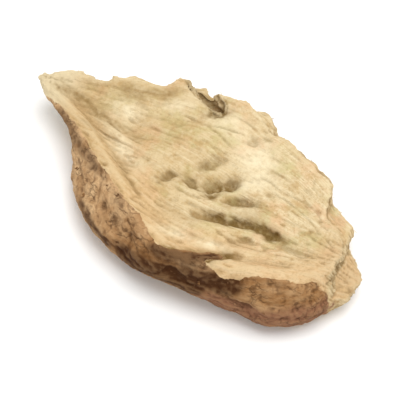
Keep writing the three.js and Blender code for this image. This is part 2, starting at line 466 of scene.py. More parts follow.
@dataclass
class ChipBody:
    """The chip itself: cut face, skin, torn edges and underside in one closed mesh.

    Sizes are in millimetres. The skin reaches round the middle between two turns, in degrees, and
    each pair that bounds a change is where it starts and where it is complete.
    """

    fan: Fan = Fan()
    rim_line: RimLine = RimLine()
    voxel: float = 0.092
    quick_voxel: float = 0.17
    smoothing: int = 5
    facing_smoothing: int = 3
    normal_smoothing: int = 2
    middle: Pair = (-0.27, -0.22)
    skin_from: Pair = (131.0, 136.0)
    skin_to: Pair = (312.0, 321.0)
    turn_wander: Wave = Wave(1.4, 3.0)
    underside_facing: Pair = (-0.75, -0.5)
    side_facing: Pair = (0.52, 0.66)
    side_wander: Wave = Wave(0.9, 0.1)
    rim_edge: Pair = (-0.12, 0.04)
    rim_ragged: Wave = Wave(0.8, 0.1, shift=3)
    rim_torn: Wave = Wave(0.3, 0.05)
    strays: tuple[Wave, ...] = (
        Wave(0.5, 0.1, shift=41), Wave(0.5, 0.1, shift=43), Wave(0.5, 0.1, shift=47),
    )
    # Relief of the cut face
    fibres: Wave = Wave((0.24, 3.2, 2.0), 0.016, layers=2)
    cords: Wave = Wave((0.8, 6.0, 4.0), 0.022, layers=1)
    ledges: Wave = Wave((1.7, 7.5, 3.0), 2.2, layers=2, shift=(0, 0, 21))
    ledge_rise: Pair = (0.4, 0.56)
    ledge_height: float = 0.032
    slits: Wave = Wave((0.9, 4.5, 3.0), 1.0, layers=1, shift=(0, 0, 9))
    slit_width: Pair = (0.0, 0.13)
    slit_patches: Wave = Wave(3.1, 1.0, layers=1, shift=5)
    slit_patch_edge: Pair = (-0.1, 0.5)
    slit_depth: float = 0.075
    swells: Wave = Wave(1.5, 0.03)
    grains: Wave = Wave(0.26, 0.014, layers=2)
    lip_place: float = 0.45
    lip_half: float = 0.32
    lip_height: float = 0.07
    crease_depth: float = 0.22
    crease_widening: float = 1.5
    pit_depth: float = 0.24
    pit_floor: Wave = Wave(0.25, 0.08, layers=2, shift=53)
    cleft_depth: float = 0.3
    # How strongly the clefts are darkened in colour, partly as painted shade.
    cleft_stain_and_shade: float = 0.5
    full_face: float = 0.95
    vessel_count: int = 70
    vessel_seed: int = 23
    vessel_width: Pair = (0.08, 0.13)
    vessel_stretch: Pair = (1.5, 4.5)
    vessel_depth: Pair = (0.04, 0.1)
    vessel_deepest: float = 0.2
    # Relief of the skin
    skin_height: float = 0.045
    skin_bend: Wave = Wave((2.1, 1.0, 1.0), 0.5, layers=1)
    wrinkles: Wave = Wave((1.9, 0.5, 1.0), 0.08, shift=(0, 0, 3))
    ring_stray: Wave = Wave(1.5, 0.9, shift=31)
    rings: Wave = Wave((3.2, 2.6, 1.0), 1.0, layers=1, shift=(0, 0, 7))
    ring_width: Pair = (0.0, 0.12)
    ring_depth: float = 0.035
    blisters: Wave = Wave((0.9, 0.9, 0.5), 0.07, shift=11)
    pebbles: Wave = Wave(0.22, 0.016, layers=2)
    # Relief of the torn edges and the underside
    torn_layers: Wave = Wave((1.6, 2.2, 0.34), 0.12, layers=2)
    bundles: Wave = Wave((0.34, 1.5, 0.4), 0.1, layers=2, shift=(0, 0, 4))
    crumbling: Wave = Wave(0.45, 0.05)
    underside_dents: Wave = Wave(0.5, 0.03)
    # How many steps of spreading a hollow is measured over, and the depth that counts as full
    small_hollow: tuple[int, float] = (4, 0.022)
    large_hollow: tuple[int, float] = (24, 0.08)
    pits: tuple[Spot, ...] = (
        Spot((-1.8, 0.6), (0.38, 0.24), 0.6, 0.55),
        Spot((-1.4, 0.85), (0.34, 0.18), -0.2, 0.5),
        Spot((-0.2, 0.1), (0.5, 0.24), -0.72, 0.85),
        Spot((0.95, -0.12), (0.5, 0.38), 0.3, 1.0),
        Spot((0.95, -0.72), (0.58, 0.24), 0.1, 0.9),
        Spot((1.5, 0.1), (0.3, 0.24), 0.6, 0.6),
        Spot((2.05, 0.02), (0.44, 0.38), 0.3, 1.0),
        Spot((2.75, -1.38), (1.0, 0.34), -0.25, 0.85),
        Spot((0.6, 1.5), (0.62, 0.44), 0.4, 0.7),
        Spot((2.1, -2.8), (0.5, 0.2), -0.3, 0.4),
        Spot((-2.27, 0.15), (0.3, 0.14), -0.6, 0.3),
        Spot((-3.55, -0.85), (0.32, 0.18), -0.9, 0.3),
        Spot((4.4, -3.95), (0.42, 0.28), -0.6, 0.8),
        Spot((1.3, 5.4), (0.8, 0.42), 0.15, 1.0),
    )
    clefts: tuple[Spot, ...] = (
        Spot((0.6, 6.95), (1.5, 0.55), -0.96, 1.0),
        Spot((1.5, 6.1), (0.7, 0.3), 0.7, 0.5),
        Spot((-0.2, 7.6), (0.75, 0.28), -0.95, 0.75),
    )
    pale_spots: tuple[Spot, ...] = (
        Spot((-4.4, 5.9), (1.1, 0.8), -0.6, 0.8),
        Spot((-4.6, 3.0), (1.9, 0.6), -1.07, 0.8),
        Spot((-1.3, 6.1), (1.1, 0.6), 0.0, 0.6),
        Spot((1.9, 4.6), (1.3, 0.9), -0.5, 0.6),
        Spot((3.8, 1.7), (1.1, 2.0), 0.4, 0.9),
        Spot((3.2, -0.1), (1.0, 0.6), 0.0, 0.7),
        Spot((-1.3, -4.0), (1.2, 0.45), -0.3, 0.7),
        Spot((0.9, -4.85), (0.8, 0.35), -0.1, 0.9),
    )
    bands: tuple[Streak, ...] = (
        Streak((
            (-9.2, 7.85), (-8.55, 7.55), (-7.6, 7.1), (-6.85, 6.65), (-6.1, 5.9), (-5.4, 5.05),
        ), 0.44, 0.9),
        Streak(((-6.5, 6.2), (-5.4, 5.1), (-4.6, 4.6), (-3.75, 3.75), (-2.9, 3.1)), 0.32, 0.7),
        Streak(((-7.05, 8.35), (-6.4, 7.75), (-5.6, 7.2)), 0.25, 0.35),
        Streak(((-7.2, 5.2), (-6.7, 4.6), (-6.0, 3.7), (-5.5, 3.2)), 0.24, 0.5),
        Streak(((-5.3, 3.0), (-4.6, 1.45), (-4.2, 0.2), (-3.5, -0.9)), 0.24, 0.3),
        Streak((
            (-2.7, -1.3), (-2.05, -1.7), (-1.3, -2.2), (-0.75, -2.7), (-0.3, -3.25), (0.1, -3.9),
        ), 0.5, 0.4),
        Streak(((1.2, -1.4), (2.0, -1.65), (2.7, -1.95), (3.5, -2.4), (4.4, -2.9)), 0.42, 0.5),
        Streak((
            (-5.4, 7.8), (-4.2, 7.4), (-3.5, 6.95), (-2.5, 7.1), (-1.8, 7.0), (-0.4, 7.5),
        ), 0.42, 1.0),
        Streak(((-3.0, 0.6), (-1.6, 0.7), (-0.2, 0.1), (1.0, -0.2), (2.1, 0.25), (3.0, 0.4)), 0.5, 0.5),
        Streak((
            (-0.6, -2.0), (0.6, -2.2), (2.0, -2.65), (3.6, -3.25), (4.6, -3.95), (6.2, -5.2),
        ), 0.42, 0.6),
    )
    creases: tuple[Streak, ...] = (
        Streak((
            (0.0, -2.1), (0.6, -2.3), (1.3, -2.5), (2.0, -2.82), (2.9, -3.05), (3.6, -3.35), (4.2, -3.65),
            (4.6, -3.92), (5.1, -4.2), (5.9, -4.85),
        ), 0.2, 1.0),
        Streak(((1.6, -4.45), (2.2, -4.4), (2.9, -4.33), (3.6, -4.4)), 0.2, 0.45),
        Streak((
            (-2.7, -5.2), (-2.15, -5.48), (-1.25, -5.8), (-0.3, -6.0), (0.6, -6.15), (1.1, -6.0),
            (1.6, -5.75), (2.2, -5.65), (3.1, -5.65),
        ), 0.3, 1.2),
        Streak((
            (-8.9, 7.7), (-7.6, 7.1), (-6.85, 6.65), (-6.1, 5.9), (-5.4, 5.05), (-4.2, 4.2),
        ), 0.2, 0.2),
        Streak(((-5.3, 3.0), (-4.6, 1.45), (-4.2, 0.2), (-3.5, -0.9)), 0.14, 0.2),
    )
    # Dark lines on the skin: its own dark brown, and in the lower lines near the floor painted shade as
    # well.
    dark_lines: tuple[Streak, ...] = (
        Streak((
            (-9.1, 6.7, 2.2), (-8.67, 6.05, 2.27), (-8.2, 5.2, 2.4), (-7.7, 4.05, 2.5), (-7.2, 3.05, 2.65),
            (-6.65, 2.1, 2.9), (-6.15, 1.25, 3.05), (-5.65, 0.3, 3.25), (-5.2, -0.5, 3.4),
        ), 0.5, 0.6),
        Streak((
            (-3.1, -4.6, 3.6), (-2.7, -5.1, 3.7), (-2.2, -5.5, 3.75), (-1.7, -5.8, 3.8), (-1.0, -6.0, 3.95),
            (-0.3, -6.1, 3.95), (0.5, -6.1, 3.9), (1.3, -5.8, 3.4), (2.0, -5.65, 3.2),
        ), 0.44, 1.0),
        Streak((
            (-5.6, -3.3, 2.4), (-4.95, -4.1, 2.3), (-4.25, -4.75, 2.1), (-3.55, -5.4, 2.2),
            (-2.75, -5.95, 2.3), (-2.0, -6.25, 2.4), (-1.25, -6.5, 2.5), (-0.45, -6.8, 2.8),
            (0.25, -7.05, 3.0), (0.9, -7.2, 3.1), (1.5, -7.42, 3.1), (2.05, -7.6, 3.2),
            (2.8, -7.75, 3.4), (3.6, -7.85, 3.5),
        ), 0.68, 1.35),
        Streak((
            (-5.3, -3.9, 1.2), (-4.5, -4.7, 1.4), (-3.8, -5.3, 1.6), (-3.0, -5.95, 1.8), (-2.3, -6.35, 1.9),
            (-1.5, -6.65, 1.95), (-0.8, -6.95, 2.05), (-0.1, -7.3, 2.2), (0.8, -7.6, 2.3),
        ), 0.6, 1.2),
        Streak((
            (-7.3, 0.3, 1.8), (-6.95, -0.9, 1.9), (-6.5, -1.85, 1.9), (-6.2, -2.45, 1.95),
            (-5.8, -3.1, 1.95), (-5.4, -3.6, 1.7), (-4.9, -4.2, 1.5),
        ), 0.4, 0.8),
        Streak(((-4.95, -1.45, 3.6), (-4.57, -2.0, 3.7), (-4.3, -2.5, 3.7)), 0.32, 0.5),
        Streak(((-5.15, -2.45, 3.0), (-4.85, -2.8, 3.05), (-4.45, -3.05, 3.1)), 0.32, 0.5),
        Streak(((-4.1, -3.75, 3.3), (-3.77, -4.1, 3.3), (-3.4, -4.45, 3.3)), 0.32, 0.5),
    )
    worn_lines: tuple[Streak, ...] = (
        Streak((
            (-4.4, -1.9, 3.75), (-3.95, -2.65, 3.75), (-3.57, -3.37, 3.7), (-3.2, -4.2, 3.7),
            (-2.9, -4.9, 3.7),
        ), 0.42, 0.8),
        Streak((
            (-1.6, -6.05, 3.7), (-0.9, -6.3, 3.75), (-0.2, -6.5, 3.8), (0.5, -6.65, 3.85),
            (1.4, -6.95, 3.85),
        ), 0.26, 0.75),
        Streak(((-5.3, -1.6, 3.2), (-5.0, -2.2, 3.2), (-4.7, -2.9, 3.1)), 0.5, 0.5),
    )

    def build(self) -> bpy.types.Object:
        """Makes the chip.

        Returns:
            The finished piece, dressed, riding on its body.
        """
        clay = self.remeshed()
        clay.points = clay.spread(clay.points, self.smoothing)
        self.measure(clay)
        self.sculpt(clay)
        piece = self.finished(clay)
        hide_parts(NODE)
        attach(piece, BODY)
        return piece

    def remeshed(self) -> Clay:
        """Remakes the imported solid's mesh as an even one.

        Returns:
            A net of small quads, in millimetres.
        """
        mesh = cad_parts[NODE].data.copy()
        merged = bmesh.new()
        merged.from_mesh(mesh)
        bmesh.ops.scale(merged, vec=Vector((1, 1, 1)) / MM, verts=merged.verts)
        bmesh.ops.remove_doubles(merged, verts=merged.verts, dist=1e-4)
        merged.to_mesh(mesh)
        merged.free()
        rough = add_object("rough", mesh)
        modifier = rough.modifiers.new("net", "REMESH")
        modifier.mode = "VOXEL"
        modifier.voxel_size = self.voxel
        net = take_mesh(rough)
        points = np.empty(3 * len(net.vertices))
        net.vertices.foreach_get("co", points)
        corners = np.empty(4 * len(net.polygons), dtype=int)
        net.polygons.foreach_get("vertices", corners)
        bpy.data.meshes.remove(net)
        return Clay(points.reshape(-1, 3), corners.reshape(-1, 4))

    def measure(self, clay: Clay) -> None:
        """Works out and keeps which part of the surface each vertex belongs to.

        Args:
            clay: The smooth chip.
        """
        points = clay.points
        self.flow = self.fan.coordinates(points)
        self.places = points + np.column_stack([stray.at(points) for stray in self.strays])
        facing = clay.spread(clay.normals(), self.facing_smoothing)[:, 2]
        self.under = 1 - ramp(facing, *self.underside_facing)
        side = (1 - ramp(facing + self.side_wander.at(points), *self.side_facing)) * (1 - self.under)
        offset = points[:, :2] - self.middle
        turn = np.degrees(np.arctan2(offset[:, 1], offset[:, 0])) % 360 + self.turn_wander.at(points)
        skin_side = ramp(turn, *self.skin_from) * (1 - ramp(turn, *self.skin_to))
        self.rim = self.rim_line.inward(points)
        ragged = self.rim_ragged.at(points) + self.rim_torn.at(points)
        outside = 1 - ramp(self.rim + ragged, *self.rim_edge)
        self.skin = outside * skin_side * (1 - self.under)
        self.torn = side * (1 - skin_side)
        self.face = (1 - self.skin) * (1 - self.torn) * (1 - self.under)

    def covered(self, marks: tuple[Spot | Streak, ...]) -> np.ndarray:
        """How strongly some spots or streaks cover each vertex, all together."""
        return sum(mark.cover(self.places) for mark in marks)

    def face_relief(self, points: np.ndarray) -> np.ndarray:
        """Shapes the fibres, starch grain, creases and pits of the cut face.

        Args:
            points: The smooth chip's points.

        Returns:
            How far each point is raised.
        """
        ledges = self.ledges.at(self.flow)
        level = np.floor(ledges)
        level += ramp(ledges - level, *self.ledge_rise)
        slits = 1 - ramp(np.abs(self.slits.at(self.flow)), *self.slit_width)
        slits *= ramp(self.slit_patches.at(points), *self.slit_patch_edge)
        relief = self.fibres.at(self.flow) + self.cords.at(self.flow) - self.slit_depth * slits
        relief += self.ledge_height * level + self.swells.at(points) + self.grains.at(points)
        relief += self.lip_height * bump((self.rim - self.lip_place) / self.lip_half)
        relief -= self.crease_depth * self.covered(self.creases)
        relief -= self.covered(self.pits) * (self.pit_depth + self.pit_floor.at(points))
        relief -= self.cleft_depth * self.covered(self.clefts)
        return relief - self.cut_vessels()

    def cut_vessels(self) -> np.ndarray:
        """Scatters the holes of cut vessels over the face, drawn out along the fibres.

        Returns:
            How deep they are at each vertex.
        """
        rng = np.random.default_rng(self.vessel_seed)
        on_face = np.flatnonzero(self.face > self.full_face)
        depth = np.zeros(len(self.face))
        for k in rng.choice(on_face, self.vessel_count, replace=False):
            across, along = (self.flow[:, :2] - self.flow[k, :2]).T
            width = rng.uniform(*self.vessel_width)
            length = width * rng.uniform(*self.vessel_stretch)
            depth += rng.uniform(*self.vessel_depth) * bump(np.hypot(across / width, along / length))
        return np.minimum(depth, self.vessel_deepest)

    def skin_relief(self, points: np.ndarray) -> np.ndarray:
        """Shapes the shrinkage wrinkles and the rings of the skin.

        Args:
            points: The smooth chip's points.

        Returns:
            How far each point is raised.
        """
        _, along, height = self.flow.T
        plane = np.zeros(len(points))
        bent = height + self.skin_bend.at(np.column_stack([along, height, height]))
        strayed = along + self.ring_stray.at(points)
        rings = np.abs(self.rings.at(np.column_stack([strayed, bent, plane])))
        relief = self.skin_height + self.wrinkles.at(np.column_stack([along, bent, plane]))
        relief -= self.ring_depth * (1 - ramp(rings, *self.ring_width))
        return relief + self.blisters.at(points) + self.pebbles.at(points)

    def torn_relief(self, points: np.ndarray) -> np.ndarray:
        """The broken layers and fibre bundles of the torn edges, as heights."""
        return self.torn_layers.at(self.flow) + self.bundles.at(self.flow) + self.crumbling.at(points)

    def sculpt(self, clay: Clay) -> None:
        """Moves the vertices along their normals and keeps the underside flat.

        Args:
            clay: The smooth chip, which is changed.
        """
        points = clay.points
        normals = clay.spread(clay.normals(), self.normal_smoothing)
        torn = self.torn * (1 - self.skin)
        flesh = (1 - self.skin) * (1 - torn) * (1 - self.under)
        height = self.skin * self.skin_relief(points) + torn * self.torn_relief(points)
        height += flesh * self.face_relief(points)
        height += self.under * np.minimum(self.underside_dents.at(points), 0)
        clay.points = points + normals * height[:, None]
        clay.points[:, 2] = np.maximum(clay.points[:, 2], 0)

    def measures(self, clay: Clay) -> dict[Mask, np.ndarray]:
        """Measures what the finish needs to know of each vertex.

        Args:
            clay: The sculpted chip.

        Returns:
            One number a vertex for each measure.
        """
        hollows = (self.small_hollow, self.large_hollow)
        sunk = clay.spread(sum(clay.sunk(times) / depth for times, depth in hollows), 1)
        # Pits, clefts and creases are darkened in colour, wider than the creases' relief: partly their own
        # darker brown, partly painted shade in the recesses.
        stain = self.covered(self.pits) + self.cleft_stain_and_shade * self.covered(self.clefts)
        stain += sum(crease.cover(self.places, self.crease_widening) for crease in self.creases)
        bare = (1 - self.skin) * (1 - self.under)
        return {
            Mask.SKIN: self.skin,
            Mask.TORN: self.torn,
            Mask.UNDERSIDE: self.under,
            Mask.STAIN_AND_SHADE: np.clip(stain, 0, 1) * bare,
            Mask.HOLLOW: np.clip(sunk, 0, 1),
            Mask.RIDGE: np.clip(-sunk, 0, 1),
            Mask.RIM: self.rim,
            Mask.BAND: np.clip(self.covered(self.bands), 0, 1) * bare,
            Mask.DARK: np.clip(self.covered(self.dark_lines), 0, 1),
            Mask.WORN: np.clip(self.covered(self.worn_lines), 0, 1),
            Mask.PALE: np.clip(self.covered(self.pale_spots), 0, 1),
        }

    def finished(self, clay: Clay) -> bpy.types.Object:
        """Writes the mesh with its measures, in metres, and dresses it.

        Args:
            clay: The sculpted chip.

        Returns:
            The chip's object.
        """
        mesh = bpy.data.meshes.new("chip_body")
        mesh.from_pydata((clay.points * MM).tolist(), [], clay.quads.tolist())
        for mask, values in self.measures(clay).items():
            mesh.attributes.new(mask.value, "FLOAT", "POINT").data.foreach_set("value", values)
        for way, values in {Way.FLOW: self.flow, Way.GRAIN: self.fan.grain(clay.points)}.items():
            attribute = mesh.attributes.new(way.value, "FLOAT_VECTOR", "POINT")
            attribute.data.foreach_set("vector", values.ravel())
        mesh.shade_smooth()
        mesh.materials.append(RootFinish().material())
        mesh.validate()
        return add_object("chip_body", mesh)


@dataclass(frozen=True)
class Patches:
    """Irregular patches that a finish has.

    The size is their noise's, in millimetres. Where the noise is under low they have the first
    strength, and where it is over high they have the last.
    """

    size: float
    low: float
    high: float
    first: float = 0.0
    last: float = 1.0
    detail: float = 3.0
    rough: float = 0.55


class Tree:
    """A node tree under construction, for shaders and for geometry."""

    def __init__(self, tree: bpy.types.NodeTree) -> None:
        """Keeps the tree that nodes are added to."""
        self.tree = tree

    def feed(self, node: bpy.types.Node, inputs: dict[str | int, object]) -> None:
        """Fills a node's inputs.

        Args:
            node: The node.
            inputs: Values or sockets by the input's name or number.
        """
        for key, value in inputs.items():
            if isinstance(value, Socket):
                self.tree.links.new(value, node.inputs[key])
            else:
                node.inputs[key].default_value = value

    def node(self, kind: str, inputs: dict | None = None, **settings: object) -> bpy.types.Node:
        """Adds a node.

        Args:
            kind: The node's type name.
            inputs: Values or sockets by the input's name or number.
            settings: The node's own properties.

        Returns:
            The new node.
        """
        made = self.tree.nodes.new(kind)
        for name, value in settings.items():
            setattr(made, name, value)
        self.feed(made, inputs or {})
        return made

    def output(self, kind: str, inputs: dict | None = None, **settings: object) -> Socket:
        """Adds a node in the same way and gives its first output."""
        return self.node(kind, inputs, **settings).outputs[0]

    def math(self, operation: str, first: object, second: object = 0.0) -> Socket:
        """A sum, product or other result of two values."""
        return self.output("ShaderNodeMath", {0: first, 1: second}, operation=operation)

    def plus(self, first: object, second: object) -> Socket:
        """The sum of two values."""
        return self.math("ADD", first, second)

    def minus(self, first: object, second: object) -> Socket:
        """The first value less the second."""
        return self.math("SUBTRACT", first, second)

    def times(self, first: object, second: object) -> Socket:
        """The product of two values."""
        return self.math("MULTIPLY", first, second)

    def inverse(self, value: Socket) -> Socket:
        """One divided by a value."""
        return self.math("DIVIDE", 1.0, value)

    def vector(self, operation: str, first: object, second: object) -> Socket:
        """A sum, difference or product of two vectors."""
        return self.output("ShaderNodeVectorMath", {0: first, 1: second}, operation=operation)

    def scaled(self, vector: Socket, factor: object) -> Socket:
        """A vector times a number."""
        return self.output("ShaderNodeVectorMath", {0: vector, "Scale": factor}, operation="SCALE")

    def combined(self, x: object, y: object, z: object) -> Socket:
        """A vector of three numbers."""
        return self.output("ShaderNodeCombineXYZ", {0: x, 1: y, 2: z})

    def parted(self, vector: Socket) -> tuple[Socket, ...]:
        """A vector's three numbers."""
        return tuple(self.node("ShaderNodeSeparateXYZ", {0: vector}).outputs)

    def stretched(self, vector: Socket, x: object, y: object, z: object) -> Socket:
        """A vector with each of its numbers multiplied."""
        return self.vector("MULTIPLY", vector, self.combined(x, y, z))

    def random(self, low: object, high: object, seed: Socket) -> Socket:
        """A random number between two values, another one for each point."""
        inputs = {2: low, 3: high, "Seed": seed}
        return self.node("FunctionNodeRandomValue", inputs, data_type="FLOAT").outputs[1]

    def span(self, value: object, low: float, high: float, first: float = 0, last: float = 1) -> Socket:
        """Goes smoothly from the first value at low to the last at high."""
        inputs = {0: value, 1: low, 2: high, 3: first, 4: last}
        return self.output("ShaderNodeMapRange", inputs, interpolation_type="SMOOTHSTEP")

    def blend(self, share: object, first: object, second: object) -> Socket:
        """Mixes two colours, by how much of the second shows."""
        inputs = {0: share, 6: first, 7: second}
        return self.node("ShaderNodeMix", inputs, data_type="RGBA").outputs[2]

    def laid(self, colour: object, layers: tuple[tuple[object, object], ...]) -> Socket:
        """Lays colours over a colour.

        Args:
            colour: The colour at the bottom.
            layers: How much of each further colour shows, and that colour, from the bottom up.

        Returns:
            The colour that all of them give.
        """
        for share, above in layers:
            colour = self.blend(share, colour, above)
        return colour

    def noise(self, place: object, size: float, detail: float = 3.0, rough: float = 0.55) -> Socket:
        """Noise about 0.5 over a place, with waves of a size and some finer layers on them."""
        inputs = {"Vector": place, "Scale": 1 / size, "Detail": detail, "Roughness": rough}
        return self.output("ShaderNodeTexNoise", inputs)

    def patches(self, kind: Patches, place: Socket) -> Socket:
        """How strongly patches of one kind show at a place."""
        noise = self.noise(place, kind.size, kind.detail, kind.rough)
        return self.span(noise, kind.low, kind.high, kind.first, kind.last)

    def cells(self, place: Socket, scale: object, feature: str = "F1") -> bpy.types.bpy_prop_collection:
        """The outputs of a pattern of cells over a place."""
        inputs = {"Vector": place, "Scale": scale}
        return self.node("ShaderNodeTexVoronoi", inputs, feature=feature).outputs

    def attribute(self, name: str, channel: str = "Fac") -> Socket:
        """A measure that the mesh's vertices carry."""
        return self.node("ShaderNodeAttribute", attribute_name=name).outputs[channel]

    def mask(self, mask: Mask) -> Socket:
        """One of the chip's measures."""
        return self.attribute(mask.value)

    def place(self) -> Socket:
        """Object coordinates in millimetres."""
        inputs = {"Vector": self.node("ShaderNodeTexCoord").outputs["Object"], "Scale": (1 / MM,) * 3}
        return self.output("ShaderNodeMapping", inputs, vector_type="POINT")

    def raised(self, height: Socket, strength: float, depth: float) -> Socket:
        """The normal of a surface with fine relief on it, whose depth is in millimetres."""
        inputs = {"Strength": strength, "Distance": depth * MM, "Height": height}
        return self.output("ShaderNodeBump", inputs)

    def group(self, shared: bpy.types.NodeTree, inputs: dict) -> bpy.types.bpy_prop_collection:
        """Places a shared group with its own values and gives its outputs."""
        return self.node("ShaderNodeGroup", inputs, node_tree=shared).outputs


def new_group(
    name: str, inputs: dict[str, Kind | float], outputs: dict[str, Kind], kind: str = "ShaderNodeTree",
) -> tuple[Tree, bpy.types.bpy_prop_collection, bpy.types.Node]:
    """Starts a node group with named sockets.

    Args:
        name: The group's name.
        inputs: The kind of each input, or the first value of one that takes a number.
        outputs: The kind of each output.
        kind: Blender's name for the kind of tree.

    Returns:
        The tree, the sockets that it is given, and its output node.
    """
    made = bpy.data.node_groups.new(name, kind)
    for key, value in inputs.items():
        socket_kind = value if isinstance(value, Kind) else Kind.NUMBER
        socket = made.interface.new_socket(name=key, in_out="INPUT", socket_type=socket_kind.value)
        if not isinstance(value, Kind):
            socket.default_value = value
    for key, value in outputs.items():
        made.interface.new_socket(name=key, in_out="OUTPUT", socket_type=value.value)
    tree = Tree(made)
    return tree, tree.node("NodeGroupInput").outputs, tree.node("NodeGroupOutput")


class Effects:
    """The shader effects that the finishes share, each built once as a node group."""

    @staticmethod
    @cache
    def fibre_streaks() -> bpy.types.NodeTree:
        """Thin streaks that follow the fibres.

        Returns:
            A group that gives them as a mask and as a height.
        """
        tree, given, result = new_group(
            "fibre_streaks",
            {"Flow": Kind.VECTOR, "Width": 0.3, "Length": 5.0},
            {"Streak": Kind.NUMBER, "Height": Kind.NUMBER},
        )
        thin, long = tree.inverse(given["Width"]), tree.inverse(given["Length"])
        way = tree.stretched(given["Flow"], thin, long, 1.4)
        wide = tree.noise(way, 1.0, 4.0, 0.6)
        fine = tree.noise(way, 0.28, 2.0, 0.5)
        mixed = tree.plus(tree.times(wide, 0.7), tree.times(fine, 0.3))
        tree.feed(result, {"Streak": tree.span(mixed, 0.36, 0.66), "Height": mixed})
        return tree.tree

    @staticmethod
    @cache
    def cut_vessels() -> bpy.types.NodeTree:
        """The ends of cut vessels: short dashes along the fibres, some missing.

        Returns:
            A group that gives them as a mask.
        """
        tree, given, result = new_group(
            "cut_vessels", {"Flow": Kind.VECTOR, "Spacing": 0.6}, {"Vessel": Kind.NUMBER},
        )
        fine = tree.inverse(given["Spacing"])
        long = tree.times(fine, 0.4)
        cells = tree.cells(tree.stretched(given["Flow"], fine, long, long), 1.0)
        dash = tree.span(cells["Distance"], 0.07, 0.2, 1.0, 0.0)
        kept = tree.span(tree.parted(cells["Color"])[0], 0.45, 0.6)
        tree.feed(result, {"Vessel": tree.times(dash, kept)})
        return tree.tree

    @staticmethod
    @cache
    def starch_grain() -> bpy.types.NodeTree:
        """The chalky grain of dried starch.

        Returns:
            A group that gives it as a value and as a height.
        """
        tree, given, result = new_group(
            "starch_grain",
            {"Place": Kind.VECTOR, "Size": 0.12},
            {"Grain": Kind.NUMBER, "Height": Kind.NUMBER},
        )
        place, scale = given["Place"], tree.inverse(given["Size"])
        inputs = {"Vector": place, "Scale": scale, "Detail": 5.0, "Roughness": 0.65}
        cloud = tree.output("ShaderNodeTexNoise", inputs)
        specks = tree.cells(place, tree.times(scale, 0.6))["Distance"]
        chip = tree.span(specks, 0.0, 0.35, 0.35, 0.0)
        tree.feed(result, {"Grain": cloud, "Height": tree.minus(cloud, chip)})
        return tree.tree

    @staticmethod
    @cache
    def dried_cracks() -> bpy.types.NodeTree:
        """The net of fine cracks and wrinkles in dried skin.

        Returns:
            A group that gives them as a mask and as a height.
        """
        tree, given, result = new_group(
            "dried_cracks",
            {"Flow": Kind.VECTOR, "Length": 1.1, "Width": 0.4},
            {"Crack": Kind.NUMBER, "Height": Kind.NUMBER},
        )
        flow = given["Flow"]
        bend = tree.node("ShaderNodeTexNoise", {"Vector": flow, "Scale": 1.3, "Detail": 4.0})
        bent = tree.vector("ADD", flow, tree.scaled(bend.outputs["Color"], 0.9))
        thin, long = tree.inverse(given["Width"]), tree.inverse(given["Length"])
        way = tree.stretched(bent, thin, long, thin)
        edge = tree.cells(way, 1.0, "DISTANCE_TO_EDGE")["Distance"]
        patch = tree.span(tree.noise(flow, 0.9, 2.0), 0.42, 0.6)
        crack = tree.times(tree.span(edge, 0.0, 0.12, 1.0, 0.0), patch)
        fine = tree.noise(way, 0.5, 4.0, 0.65)
        tree.feed(result, {"Crack": crack, "Height": tree.minus(fine, tree.times(crack, 0.5))})
        return tree.tree

    @staticmethod
    @cache
    def hollow_shade() -> bpy.types.NodeTree:
        """Painted shade laid into hollows, and ridges that are rubbed pale.

        Returns:
            A group that lays them over a colour.
        """
        tree, given, result = new_group(
            "hollow_shade",
            {
                "Colour": Kind.COLOUR, "Hollow": 0.0, "Ridge": 0.0, "Shade colour": Kind.COLOUR,
                "Rubbed": Kind.COLOUR, "Shade share": 0.5, "Rubbed share": 0.4,
            },
            {"Colour": Kind.COLOUR},
        )
        tree.feed(result, {"Colour": tree.laid(given["Colour"], (
            (tree.times(given["Hollow"], given["Shade share"]), given["Shade colour"]),
            (tree.times(given["Ridge"], given["Rubbed share"]), given["Rubbed"]),
        ))})
        return tree.tree


def new_material(name: str) -> tuple[bpy.types.Material, Tree, bpy.types.Node]:
    """Starts a material.

    Args:
        name: The material's name.

    Returns:
        The material, its tree and its Principled shader.
    """
    material = bpy.data.materials.new(name)
    material.use_nodes = True
    shader = material.node_tree.nodes["Principled BSDF"]
    shader.inputs["Specular IOR Level"].default_value = 0.08
    return material, Tree(material.node_tree), shader


